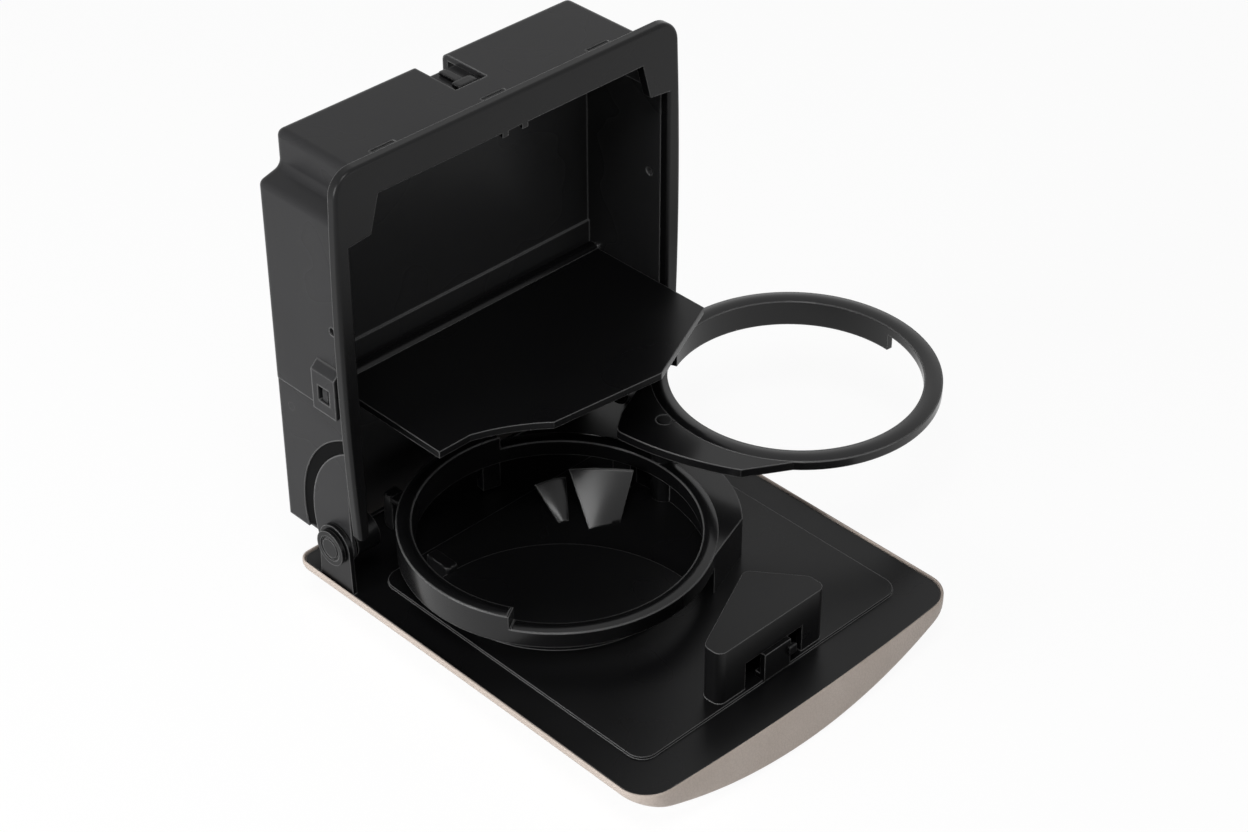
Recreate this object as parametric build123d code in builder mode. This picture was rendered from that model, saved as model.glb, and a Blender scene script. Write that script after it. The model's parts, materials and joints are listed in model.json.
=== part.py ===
from build123d import *
import math
import os

# A fold-down cup holder for a car console, shown with its lid open and its second ring swung out.
# X runs to the right, Y runs back into the console, Z is up. Millimetres.
# The origin is the middle of the console cut-out, on the plane of the flange's rear face.

# Front frame
OPENING_HALF_WIDTH = 57.0
FLANGE_SIDE = 5.0
FRAME_HALF_WIDTH = OPENING_HALF_WIDTH + FLANGE_SIDE
SHELL_TOP = 63.5
FLANGE_RISE = 3.5
FRAME_TOP = SHELL_TOP + FLANGE_RISE
FRAME_FOOT = -49.0
RIGHT_LEG_FOOT = -38.0
FRAME_THICK = 3.0
FRAME_CORNER = 7.0
FRAME_FOOT_CORNER = 1.5
SIDE_BOW = 1.6
OPENING_TOP = 57.0
CORNER_LEDGE = 7.0
CORNER_LEDGE_RISE = 0.8
CORNER_SLANT = 3.0
CORNER_DROP = 11.0
FRONT_EDGE_ROUND = 1.0
TOOTH_SPACING = 7.0
TOOTH_WIDTH = 2.0
TOOTH_DROP = 1.5

# Rear shell
SHELL_WALL = 2.0
SHELL_HALF_WIDTH = OPENING_HALF_WIDTH + SHELL_WALL
SHELL_DEPTH = 32.0
SHOULDER_Z = 51.0
SHOULDER_INSET = 7.0
SHOULDER_RISE = 2.0
SHELL_FOOT = -11.0
LOWER_INSET = 0.8
LOWER_STEP = 0.6
LOWER_DEPTH = SHELL_DEPTH - LOWER_STEP
LOWER_FRONT = 4.0
LOWER_FOOT = -58.5
APRON_FOOT = -74.5
APRON_LEFT = -46.0
RELIEF_TOP = -38.0
SHELL_EDGE_ROUND = 2.2
NOTCH_HALF_WIDTH = 5.5
NOTCH_FRONT = 14.0
GROOVE_CENTRE_Y = -10.0
GROOVE_CENTRE_Z = -50.0
GROOVE_OUTER = 34.0
GROOVE_INNER = 30.0
GROOVE_DEPTH = 0.7
SIDE_HOLE_Y = 4.5
SIDE_HOLE_Z = 16.5
SIDE_HOLE_RADIUS = 1.2

# Snap tongues between frame and shell
TONGUE_X = (-38.0, 0.0, 38.0)
TONGUE_HALF_WIDTH = 4.0
TONGUE_LENGTH = 6.2
TONGUE_THICK = 1.4
NIB_FRONT = 3.5
NIB_BACK = 6.0
SNAP_GAP = 0.25

# Lid hinge
HINGE_Y = 9.5
HINGE_Z = -57.0
PIN_RADIUS = 2.5
PIN_RUNNING_GAP = 0.06
PIN_CAP_RADIUS = 5.4
PIN_CAP_THICK = 1.3
PIN_CAP_GROOVE = 0.5
CAP_GROOVE_OUTER = 3.9
CAP_GROOVE_INNER = 3.0
CAP_SIDE_GAP = 0.3
PIN_INNER_LENGTH = 9.5
HINGE_BOSS_RADIUS = 6.0
EAR_RADIUS = 6.4
EAR_BASE_HALF = 7.0
EAR_SIDE_GAP = 0.4

# Lid
RIM_Z = -70.0
LID_SIDE_INSET = 1.0
LID_HALF_WIDTH = FRAME_HALF_WIDTH - LID_SIDE_INSET
LID_FRONT = -116.0
LID_BACK = 26.5
LID_FRONT_BOW = 2.4
LID_CORNER = 9.0
LID_BACK_CORNER = 4.0
COVER_EDGE = 3.6
CUT_MARGIN = 2.0
COVER_CROWN = 16.0
CAVITY_HALF_WIDTH = 42.0
CAVITY_FRONT = -98.0
CAVITY_BACK = 14.0
CAVITY_DEPTH = 9.0
PANEL_INSET = 0.8
PANEL_SINK = 0.6
PANEL_TOP = RIM_Z - PANEL_SINK
PANEL_SEAT = 2.2
PANEL_SEAT_GAP = 0.15
FIELD_RISE = 0.8
FIELD_TOP = PANEL_TOP + FIELD_RISE
FIELD_HALF_WIDTH = 50.5
FIELD_FRONT = -102.0
FIELD_BACK = 2.0
FIELD_CORNER = 5.0
CUP_FLOOR_RADIUS = 36.0
FLOOR_EDGE_CENTRE = (-37.0, -57.0)
FLOOR_EDGE_RADIUS = 45.0
CUP_FLOOR_RISE = 3.5

# Tower that carries the latch striker
TOWER_LEFT = -21.0
TOWER_RIGHT = 20.0
TOWER_FRONT = -101.0
TOWER_SIDE_BACK = -95.0
TOWER_APEX_X = 9.0
TOWER_APEX_Y = -81.0
TOWER_TOP = -52.2
TOWER_CORNER = 2.5
TOWER_WALL = 2.0
TOWER_WINDOW_HALF = 11.0
TOWER_WINDOW_HEIGHT = 9.0
STRIKER_HALF_WIDTH = 5.0
STRIKER_REACH = 1.5
STRIKER_THICK = 1.8

# Fixed ring
RING_X = -11.2
RING_Y = -28.7
RING_INNER = 40.5
RING_OUTER = 45.0
RING_HIGH = -52.0
RING_LOW = -56.2
RING_FOOT = -61.0
HIGH_START = 71.0
HIGH_END = 210.0
LEG_SPREAD = 4.0
LEG_INSET = 0.5
LEG_ANGLES = (20.0, 75.0, 130.0)
PLATFORM_START = 20.0
PLATFORM_END = -60.0
PLATFORM_BACK = (40.5, -24.0)
PLATFORM_SIDE = (39.5, -44.0)
PLATFORM_FRONT = (29.0, -61.5)
WALL_TAB_ANGLE = 188.0
WALL_TAB_WIDTH = 9.0
WALL_TAB_DEPTH = 1.6

# Swinging ring
PIVOT_X = 33.5
PIVOT_Y = -26.0
POST_RADIUS = 4.0
SWING_X = 77.0
SWING_Y = -36.5
SWING_INNER = 37.5
SWING_OUTER = 43.0
SWING_TOP = -43.0
SWING_FOOT = -45.8
WASHER_THICK = 0.3
POST_TOP = SWING_FOOT - WASHER_THICK
SKIRT_FOOT = -51.2
SKIRT_WALL = 2.0
SKIRT_START = -5.0
SKIRT_END = 112.0
ARM_LEFT = (20.0, -20.0)
ARM_EDGE = (24.5, -41.0)
ARM_FRONT = (32.0, -57.5)
ARM_FRONT_ANGLE = 222.0
ARM_BACK = (27.0, -15.0)
ARM_BACK_ANGLE = 135.0
ARM_CORNER = 3.0
PIVOT_PIN_RADIUS = 2.4
PIVOT_PIN_DEPTH = 8.0
PIVOT_PIN_ROUND = 0.6
WASHER_GAP = 0.05

# Rear flap
FLAP_Z = -19.0
FLAP_WALL_GAP = 3.0
FLAP_AXIS_Y = LOWER_DEPTH - SHELL_WALL - FLAP_WALL_GAP
FLAP_THICK = 2.2
FLAP_LEFT = -44.0
FLAP_SIDE_GAP = 1.5
FLAP_RIGHT = OPENING_HALF_WIDTH - FLAP_SIDE_GAP
FLAP_LEFT_FRONT = -18.5
FLAP_RISE_X = -33.0
FLAP_CURVE = (-22.0, -23.5)
FLAP_MID_LEFT = (-13.0, -30.0)
FLAP_MID_RIGHT = (24.0, -34.0)
FLAP_RIGHT_FRONT = -19.5
FLAP_KNUCKLE = 2.4
ROD_RADIUS = 1.3
ROD_SEAT = 0.8

# Touch latch
LATCH_HALF_WIDTH = 8.5
LATCH_FRONT = 9.0
LATCH_BACK = 27.0
LATCH_FOOT = 53.6
LATCH_WALL = 1.2
SLIDER_GAP = 0.3
SLIDER_NOSE = 2.4
NOSE_HALF_WIDTH = 3.5
NOSE_ROUND = 0.8
SLIDER_LENGTH = 7.0
LATCH_TRAVEL = 4.0
COIL_WIRE = 0.45
COIL_RADIUS = 1.6
COIL_PITCH = 1.6

# Lid spring
LID_COIL_RADIUS = 4.0
LID_COIL_WIRE = 0.6
LID_COIL_PITCH = 1.5
LID_COIL_LENGTH = 6.0

# Mounting clips
CLIP_FRONT = 2.5
CLIP_BACK = 12.0
CLIP_FOOT = -10.0
CLIP_TOP = 5.0
CLIP_THICK = 2.4
CLIP_WINDOW_FOOT = -6.6
CLIP_WINDOW_HEIGHT = 5.0

FULL_TURN = 360.0

os.makedirs("parts", exist_ok=True)


def write(piece, name):
    """Label one finished piece and write it."""
    piece.part.label = name
    export_step(piece.part, f"parts/{name}.step")


def side_plane(x):
    """A plane across X whose own axes are the object's Y and Z."""
    return Plane(origin=(x, 0, 0), x_dir=(0, 1, 0), z_dir=(1, 0, 0))


def front_plane(y):
    """A plane across Y whose own axes are the object's X and Z."""
    return Plane(origin=(0, y, 0), x_dir=(1, 0, 0), z_dir=(0, -1, 0))


def block(low, high, mode=Mode.ADD):
    """Add or cut a box given by its two far corners."""
    size = [b - a for a, b in zip(low, high)]
    with Locations(tuple((a + b) / 2 for a, b in zip(low, high))):
        Box(*size, mode=mode)


def ring_solid(x, y, inner, outer, foot, top, mode=Mode.ADD):
    """Add or cut a flat ring that stands on the level of its foot."""
    with BuildSketch(Plane.XY.offset(foot)) as plan:
        with Locations((x, y)):
            Circle(outer)
            Circle(inner, mode=Mode.SUBTRACT)
    extrude(plan.sketch, amount=top - foot, mode=mode)


def polar(x, y, radius, degrees):
    """A point at an angle on a circle round (x, y)."""
    turn = math.radians(degrees)
    return (x + radius * math.cos(turn), y + radius * math.sin(turn))


def sector(x, y, inner, outer, start, end, foot, top, mode=Mode.ADD):
    """Add or cut a stretch of a flat ring between two angles."""
    inside = [polar(x, y, inner, angle) for angle in (start, (start + end) / 2, end)]
    outside = [polar(x, y, outer, angle) for angle in (start, (start + end) / 2, end)]
    with BuildSketch(Plane.XY.offset(foot)) as plan:
        with BuildLine():
            Line(inside[0], outside[0])
            ThreePointArc(*outside)
            Line(outside[-1], inside[-1])
            ThreePointArc(*inside)
        make_face()
    extrude(plan.sketch, amount=top - foot, mode=mode)


def rod_along_x(start, end, y, z, radius, mode=Mode.ADD):
    """Add or cut a round bar that lies along X."""
    with BuildSketch(side_plane(start)) as section:
        with Locations((y, z)):
            Circle(radius)
    extrude(section.sketch, amount=end - start, mode=mode)


# Front frame: the flange round the opening, with snap tongues behind its top edge.
with BuildPart() as front_frame:
    with BuildSketch(front_plane(0)) as flange:
        with BuildLine():
            mid = (FRAME_TOP + FRAME_FOOT) / 2
            left_foot = (-FRAME_HALF_WIDTH + SIDE_BOW, FRAME_FOOT)
            left_top = (-FRAME_HALF_WIDTH + SIDE_BOW, FRAME_TOP)
            right_foot = (FRAME_HALF_WIDTH - SIDE_BOW, FRAME_FOOT)
            right_top = (FRAME_HALF_WIDTH - SIDE_BOW, FRAME_TOP)
            ThreePointArc(left_foot, (-FRAME_HALF_WIDTH, mid), left_top)
            Line(left_top, right_top)
            ThreePointArc(right_top, (FRAME_HALF_WIDTH, mid), right_foot)
            Line(right_foot, left_foot)
        make_face()
        fillet(flange.vertices().group_by(Axis.Y)[-1], FRAME_CORNER)
        with BuildLine():
            ledge_x = OPENING_HALF_WIDTH - CORNER_LEDGE
            ledge_z = OPENING_TOP - CORNER_DROP
            top_x = ledge_x - CORNER_SLANT
            Polyline(
                (-OPENING_HALF_WIDTH, FRAME_FOOT),
                (-OPENING_HALF_WIDTH, ledge_z - CORNER_LEDGE_RISE),
                (-ledge_x, ledge_z),
                (-top_x, OPENING_TOP),
                (top_x, OPENING_TOP),
                (ledge_x, ledge_z),
                (OPENING_HALF_WIDTH, ledge_z - CORNER_LEDGE_RISE),
                (OPENING_HALF_WIDTH, FRAME_FOOT),
                close=True,
            )
        make_face(mode=Mode.SUBTRACT)
        for tooth_x in (-TOOTH_SPACING / 2, TOOTH_SPACING / 2):
            with Locations((tooth_x, OPENING_TOP - TOOTH_DROP / 2)):
                Rectangle(TOOTH_WIDTH, TOOTH_DROP)
    extrude(amount=FRAME_THICK)
    feet = front_frame.edges().filter_by(Axis.Y).group_by(Axis.Z)[0]
    fillet(feet, FRAME_FOOT_CORNER)
    outer_faces = front_frame.faces().sort_by(Axis.Y)[0]
    fillet(outer_faces.outer_wire().edges().group_by(Axis.Z)[-1], FRONT_EDGE_ROUND)
    block(
        (0, -FRAME_THICK, FRAME_FOOT),
        (FRAME_HALF_WIDTH, 0, RIGHT_LEG_FOOT),
        Mode.SUBTRACT,
    )
    for tongue_x in TONGUE_X:
        under = SHELL_TOP - SHELL_WALL - SNAP_GAP
        block(
            (tongue_x - TONGUE_HALF_WIDTH, 0, under - TONGUE_THICK),
            (tongue_x + TONGUE_HALF_WIDTH, TONGUE_LENGTH, under),
        )
        block(
            (tongue_x - TONGUE_HALF_WIDTH + SNAP_GAP, NIB_FRONT, under),
            (tongue_x + TONGUE_HALF_WIDTH - SNAP_GAP, NIB_BACK - SNAP_GAP, SHELL_TOP - SNAP_GAP),
        )
write(front_frame, "front_frame")

# Rear shell: the box behind the flange, stepped at its shoulders and open below.
with BuildPart() as rear_shell:
    upper_half = SHELL_HALF_WIDTH - SHOULDER_INSET
    lower_half = SHELL_HALF_WIDTH - LOWER_INSET
    with BuildSketch(front_plane(SHELL_DEPTH)):
        with BuildLine():
            Polyline(
                (-SHELL_HALF_WIDTH, SHELL_FOOT),
                (-SHELL_HALF_WIDTH, SHOULDER_Z),
                (-upper_half, SHOULDER_Z + SHOULDER_RISE),
                (-upper_half, SHELL_TOP),
                (upper_half, SHELL_TOP),
                (upper_half, SHOULDER_Z + SHOULDER_RISE),
                (SHELL_HALF_WIDTH, SHOULDER_Z),
                (SHELL_HALF_WIDTH, SHELL_FOOT),
                close=True,
            )
        make_face()
    extrude(amount=SHELL_DEPTH)
    long_edges = rear_shell.edges().filter_by(Axis.Y).group_by(Axis.Z)
    fillet(long_edges[-1] + long_edges[2] + long_edges[1], SHELL_EDGE_ROUND)
    rear_edges = rear_shell.faces().sort_by(Axis.Y)[-1].edges().group_by(Axis.Z)
    fillet(rear_edges[-1], SHELL_EDGE_ROUND)
    block((-lower_half, 0, LOWER_FOOT), (lower_half, LOWER_DEPTH, SHELL_FOOT))
    inner_half = SHELL_HALF_WIDTH - SHELL_WALL
    inner_top = SHELL_TOP - SHELL_WALL
    inner_upper = upper_half - SHELL_WALL
    inner_back = SHELL_DEPTH - SHELL_WALL
    lower_back = LOWER_DEPTH - SHELL_WALL
    ceiling = SHOULDER_Z - SHELL_WALL
    block((-inner_half, 0, SHELL_FOOT), (inner_half, inner_back, ceiling), Mode.SUBTRACT)
    block((-inner_upper, 0, ceiling), (inner_upper, inner_back, inner_top), Mode.SUBTRACT)
    block((-inner_half, 0, LOWER_FOOT), (inner_half, lower_back, SHELL_FOOT), Mode.SUBTRACT)
    block((-lower_half, 0, LOWER_FOOT), (lower_half, LOWER_FRONT, RELIEF_TOP), Mode.SUBTRACT)
    block((APRON_LEFT, lower_back, APRON_FOOT), (inner_half, LOWER_DEPTH, LOWER_FOOT))
    for side in (-1, 1):
        start, end = sorted((side * inner_half, side * lower_half))
        rod_along_x(start, end, HINGE_Y, HINGE_Z, HINGE_BOSS_RADIUS)
        rod_along_x(start, end, HINGE_Y, HINGE_Z, PIN_RADIUS, Mode.SUBTRACT)
        start, end = sorted((side * inner_half, side * SHELL_HALF_WIDTH))
        rod_along_x(start, end, SIDE_HOLE_Y, SIDE_HOLE_Z, SIDE_HOLE_RADIUS, Mode.SUBTRACT)
        face_x = side * lower_half
        cut_x = face_x - side * GROOVE_DEPTH
        low_x, high_x = sorted((face_x, cut_x))
        with BuildSketch(side_plane(low_x)):
            with Locations((GROOVE_CENTRE_Y, GROOVE_CENTRE_Z)):
                Circle(GROOVE_OUTER)
                Circle(GROOVE_INNER, mode=Mode.SUBTRACT)
            with Locations((LOWER_FRONT - GROOVE_OUTER, GROOVE_CENTRE_Z)):
                Rectangle(2 * GROOVE_OUTER, 3 * GROOVE_OUTER, mode=Mode.SUBTRACT)
        extrude(amount=high_x - low_x, mode=Mode.SUBTRACT)
        rod_start, rod_end = sorted((side * inner_half, side * (inner_half + ROD_SEAT)))
        rod_along_x(rod_start, rod_end, FLAP_AXIS_Y, FLAP_Z, ROD_RADIUS, Mode.SUBTRACT)
    for tongue_x in TONGUE_X:
        block(
            (tongue_x - TONGUE_HALF_WIDTH, NIB_FRONT - SNAP_GAP, inner_top),
            (tongue_x + TONGUE_HALF_WIDTH, NIB_BACK, SHELL_TOP),
            Mode.SUBTRACT,
        )
    block(
        (-NOTCH_HALF_WIDTH, NOTCH_FRONT, inner_top),
        (NOTCH_HALF_WIDTH, SHELL_DEPTH - SHELL_WALL, SHELL_TOP),
        Mode.SUBTRACT,
    )
    block(
        (-NOTCH_HALF_WIDTH, SHELL_DEPTH - SHELL_WALL, SHOULDER_Z),
        (NOTCH_HALF_WIDTH, SHELL_DEPTH, SHELL_TOP),
        Mode.SUBTRACT,
    )
write(rear_shell, "rear_shell")

# Touch latch: a case under the shell's top wall, with a sprung slider in it.
with BuildPart() as latch_case:
    block(
        (-LATCH_HALF_WIDTH, LATCH_FRONT, LATCH_FOOT),
        (LATCH_HALF_WIDTH, LATCH_BACK, SHELL_TOP - SHELL_WALL),
    )
    block(
        (-LATCH_HALF_WIDTH + LATCH_WALL, LATCH_FRONT, LATCH_FOOT + LATCH_WALL),
        (LATCH_HALF_WIDTH - LATCH_WALL, LATCH_BACK - LATCH_WALL, SHELL_TOP - SHELL_WALL - LATCH_WALL),
        Mode.SUBTRACT,
    )
write(latch_case, "latch_case")

with BuildPart() as latch_slider:
    slide_half = LATCH_HALF_WIDTH - LATCH_WALL - SLIDER_GAP
    slide_foot = LATCH_FOOT + LATCH_WALL + SLIDER_GAP
    slide_top = SHELL_TOP - SHELL_WALL - LATCH_WALL - SLIDER_GAP
    block((-slide_half, LATCH_FRONT, slide_foot), (slide_half, LATCH_FRONT + SLIDER_LENGTH, slide_top))
    nose_front = LATCH_FRONT - SLIDER_NOSE
    block((-NOSE_HALF_WIDTH, nose_front, slide_foot), (NOSE_HALF_WIDTH, LATCH_FRONT, slide_top))
    fillet(latch_slider.edges().filter_by(Axis.X).sort_by(Axis.Y)[0:2], NOSE_ROUND)
write(latch_slider, "latch_slider")

with BuildPart() as latch_spring:
    coil_y = LATCH_FRONT + SLIDER_LENGTH + LATCH_TRAVEL + COIL_WIRE
    coil_z = (slide_foot + slide_top) / 2
    coil_length = LATCH_BACK - LATCH_WALL - coil_y - 2 * COIL_WIRE
    with BuildLine() as latch_coil:
        Helix(COIL_PITCH, coil_length, COIL_RADIUS, center=(0, coil_y, coil_z), direction=(0, 1, 0))
    with BuildSketch(Plane(origin=latch_coil.line @ 0, z_dir=latch_coil.line % 0)):
        Circle(COIL_WIRE)
    sweep(path=latch_coil.line, is_frenet=True)
write(latch_spring, "latch_spring")

# Mounting clips on the two outer walls.
for side, side_name in ((-1, "left"), (1, "right")):
    with BuildPart() as mounting_clip:
        near = side * SHELL_HALF_WIDTH
        far = side * (SHELL_HALF_WIDTH + CLIP_THICK)
        clip_low, clip_high = sorted((near, far))
        with BuildSketch(Plane.XZ.offset(-CLIP_FRONT)):
            with BuildLine():
                Polyline(
                    (near, CLIP_FOOT),
                    (far, CLIP_FOOT),
                    (far, CLIP_TOP - CLIP_THICK),
                    (near, CLIP_TOP),
                    close=True,
                )
            make_face()
        extrude(amount=-(CLIP_BACK - CLIP_FRONT))
        block(
            (clip_low, CLIP_FRONT + CLIP_THICK, CLIP_WINDOW_FOOT),
            (clip_high, CLIP_BACK - CLIP_THICK, CLIP_WINDOW_FOOT + CLIP_WINDOW_HEIGHT),
            Mode.SUBTRACT,
        )
    write(mounting_clip, f"mounting_clip_{side_name}")

# Hinge pins: pressed into the shell's cheeks, with a grooved cap outside the lid's ear.
for side, side_name in ((-1, "left"), (1, "right")):
    with BuildPart() as hinge_pin:
        cap_inner = LID_HALF_WIDTH - PANEL_INSET + CAP_SIDE_GAP
        cap_outer = cap_inner + PIN_CAP_THICK
        inner_end = OPENING_HALF_WIDTH - PIN_INNER_LENGTH
        start, end = sorted((side * inner_end, side * cap_inner))
        rod_along_x(start, end, HINGE_Y, HINGE_Z, PIN_RADIUS)
        start, end = sorted((side * cap_inner, side * cap_outer))
        rod_along_x(start, end, HINGE_Y, HINGE_Z, PIN_CAP_RADIUS)
        groove_low, groove_high = sorted((side * (cap_outer - PIN_CAP_GROOVE), side * cap_outer))
        with BuildSketch(side_plane(groove_low)):
            with Locations((HINGE_Y, HINGE_Z)):
                Circle(CAP_GROOVE_OUTER)
                Circle(CAP_GROOVE_INNER, mode=Mode.SUBTRACT)
        extrude(amount=groove_high - groove_low, mode=Mode.SUBTRACT)
    write(hinge_pin, f"hinge_pin_{side_name}")

# Lid spring: a coil round the left hinge pin, inside the cheek.
with BuildPart() as lid_spring:
    coil_start = -OPENING_HALF_WIDTH + 2 * LID_COIL_WIRE
    coil_middle = (coil_start, HINGE_Y, HINGE_Z)
    with BuildLine() as lid_coil:
        Helix(LID_COIL_PITCH, LID_COIL_LENGTH, LID_COIL_RADIUS, center=coil_middle, direction=(1, 0, 0))
    with BuildSketch(Plane(origin=lid_coil.line @ 0, z_dir=lid_coil.line % 0)):
        Circle(LID_COIL_WIRE)
    sweep(path=lid_coil.line, is_frenet=True)
write(lid_spring, "lid_spring")


def lid_outline(inset):
    """Draw the lid's plan, drawn in by an even inset, with its bowed front edge."""
    half = LID_HALF_WIDTH - inset
    back = LID_BACK - inset
    front = LID_FRONT + LID_FRONT_BOW + inset
    with BuildSketch(mode=Mode.PRIVATE) as plan:
        with BuildLine():
            Line((-half, back), (half, back))
            Line((half, back), (half, front))
            ThreePointArc((half, front), (0, LID_FRONT + inset), (-half, front))
            Line((-half, front), (-half, back))
        make_face()
        fillet(plan.vertices().group_by(Axis.Y)[-1], LID_BACK_CORNER - inset / 2)
        fillet(plan.vertices().group_by(Axis.Y)[0:2][0], LID_CORNER - inset / 2)
    return plan.sketch


def crown_cutter():
    """Draw the area under a lid crowned across its width, a little wider than the lid."""
    rise = COVER_CROWN - COVER_EDGE
    radius = (LID_HALF_WIDTH ** 2 + rise ** 2) / (2 * rise)
    half = LID_HALF_WIDTH + CUT_MARGIN
    depth_at_edge = COVER_CROWN - radius + math.sqrt(radius ** 2 - half ** 2)
    drop = RIM_Z - COVER_CROWN - 2 * CUT_MARGIN
    left = (-half, RIM_Z - depth_at_edge)
    right = (half, RIM_Z - depth_at_edge)
    with BuildSketch(mode=Mode.PRIVATE) as area:
        with BuildLine():
            ThreePointArc(left, (0, RIM_Z - COVER_CROWN), right)
            Polyline(right, (half, drop), (-half, drop), left)
        make_face()
    return area.sketch


def tower_outline(inset):
    """Draw the tower's plan, drawn in by an even inset: square in front and pointed behind."""
    with BuildSketch(mode=Mode.PRIVATE) as plan:
        with BuildLine():
            Polyline(
                (TOWER_LEFT, TOWER_FRONT),
                (TOWER_RIGHT, TOWER_FRONT),
                (TOWER_RIGHT, TOWER_SIDE_BACK),
                (TOWER_APEX_X, TOWER_APEX_Y),
                (TOWER_LEFT, TOWER_SIDE_BACK),
                close=True,
            )
        make_face()
        if inset:
            offset(amount=-inset, kind=Kind.INTERSECTION, mode=Mode.REPLACE)
        fillet(plan.vertices(), TOWER_CORNER - inset / 2)
    return plan.sketch


# Lid cover: a soft-coloured skin, crowned across its width and hollow above.
with BuildPart() as lid_cover:
    with BuildSketch(Plane.XY.offset(RIM_Z - COVER_CROWN - CUT_MARGIN)):
        add(lid_outline(0))
    extrude(amount=COVER_CROWN + CUT_MARGIN)
    with BuildSketch(front_plane(LID_BACK + CUT_MARGIN)):
        add(crown_cutter())
    extrude(amount=LID_BACK - LID_FRONT + 2 * CUT_MARGIN, mode=Mode.SUBTRACT)
    with BuildSketch(Plane.XY.offset(RIM_Z - PANEL_SEAT)):
        add(lid_outline(PANEL_INSET))
    extrude(amount=PANEL_SEAT, mode=Mode.SUBTRACT)
    block(
        (-CAVITY_HALF_WIDTH, CAVITY_FRONT, RIM_Z - CAVITY_DEPTH),
        (CAVITY_HALF_WIDTH, CAVITY_BACK, RIM_Z - PANEL_SEAT),
        Mode.SUBTRACT,
    )
write(lid_cover, "lid_cover")

# Lid panel: the black inner face with its ears, cup floor, raised field and latch tower.
with BuildPart() as lid_panel:
    with BuildSketch(Plane.XY.offset(RIM_Z - PANEL_SEAT)):
        add(lid_outline(PANEL_INSET + PANEL_SEAT_GAP))
    extrude(amount=PANEL_TOP - RIM_Z + PANEL_SEAT)
    with BuildSketch(Plane.XY.offset(PANEL_TOP)):
        with Locations((0, (FIELD_FRONT + FIELD_BACK) / 2)):
            RectangleRounded(2 * FIELD_HALF_WIDTH, FIELD_BACK - FIELD_FRONT, FIELD_CORNER)
    extrude(amount=FIELD_RISE)
    with BuildSketch(Plane.XY.offset(PANEL_TOP)):
        with Locations((RING_X, RING_Y)):
            Circle(CUP_FLOOR_RADIUS)
        with Locations(FLOOR_EDGE_CENTRE):
            Circle(FLOOR_EDGE_RADIUS, mode=Mode.INTERSECT)
    extrude(amount=CUP_FLOOR_RISE)
    with BuildSketch(Plane.XY.offset(PANEL_TOP)):
        add(tower_outline(0))
    extrude(amount=TOWER_TOP - PANEL_TOP)
    with BuildSketch(Plane.XY.offset(FIELD_TOP)):
        add(tower_outline(TOWER_WALL))
    extrude(amount=TOWER_TOP - TOWER_WALL - FIELD_TOP, mode=Mode.SUBTRACT)
    block(
        (-TOWER_WINDOW_HALF, TOWER_FRONT, FIELD_TOP),
        (TOWER_WINDOW_HALF, TOWER_FRONT + TOWER_WALL, FIELD_TOP + TOWER_WINDOW_HEIGHT),
        Mode.SUBTRACT,
    )
    for side in (-1, 1):
        ear_far = LID_HALF_WIDTH - PANEL_INSET - PANEL_SEAT_GAP
        ear_near = SHELL_HALF_WIDTH - LOWER_INSET + EAR_SIDE_GAP
        ear_low, ear_high = sorted((side * ear_near, side * ear_far))
        with BuildSketch(side_plane(ear_low)) as ear:
            with BuildLine():
                ear_foot = RIM_Z - PANEL_SEAT
                Polyline(
                    (HINGE_Y - EAR_BASE_HALF, ear_foot),
                    (HINGE_Y + EAR_BASE_HALF, ear_foot),
                    (HINGE_Y + EAR_RADIUS, HINGE_Z),
                    (HINGE_Y - EAR_RADIUS, HINGE_Z),
                    close=True,
                )
            make_face()
            with Locations((HINGE_Y, HINGE_Z)):
                Circle(EAR_RADIUS)
                Circle(PIN_RADIUS + PIN_RUNNING_GAP, mode=Mode.SUBTRACT)
        extrude(amount=ear_high - ear_low)
write(lid_panel, "lid_panel")

# Latch striker: the hook that stands out of the tower's window.
with BuildPart() as latch_striker:
    hook_back = TOWER_FRONT + TOWER_WALL
    hook_front = TOWER_FRONT - STRIKER_REACH
    hook_top = FIELD_TOP + TOWER_WINDOW_HEIGHT
    block(
        (-STRIKER_HALF_WIDTH, hook_front, FIELD_TOP),
        (STRIKER_HALF_WIDTH, hook_back, FIELD_TOP + STRIKER_THICK),
    )
    block(
        (-STRIKER_HALF_WIDTH, hook_front, FIELD_TOP + STRIKER_THICK),
        (STRIKER_HALF_WIDTH, hook_front + STRIKER_THICK, hook_top),
    )
write(latch_striker, "latch_striker")

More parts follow.
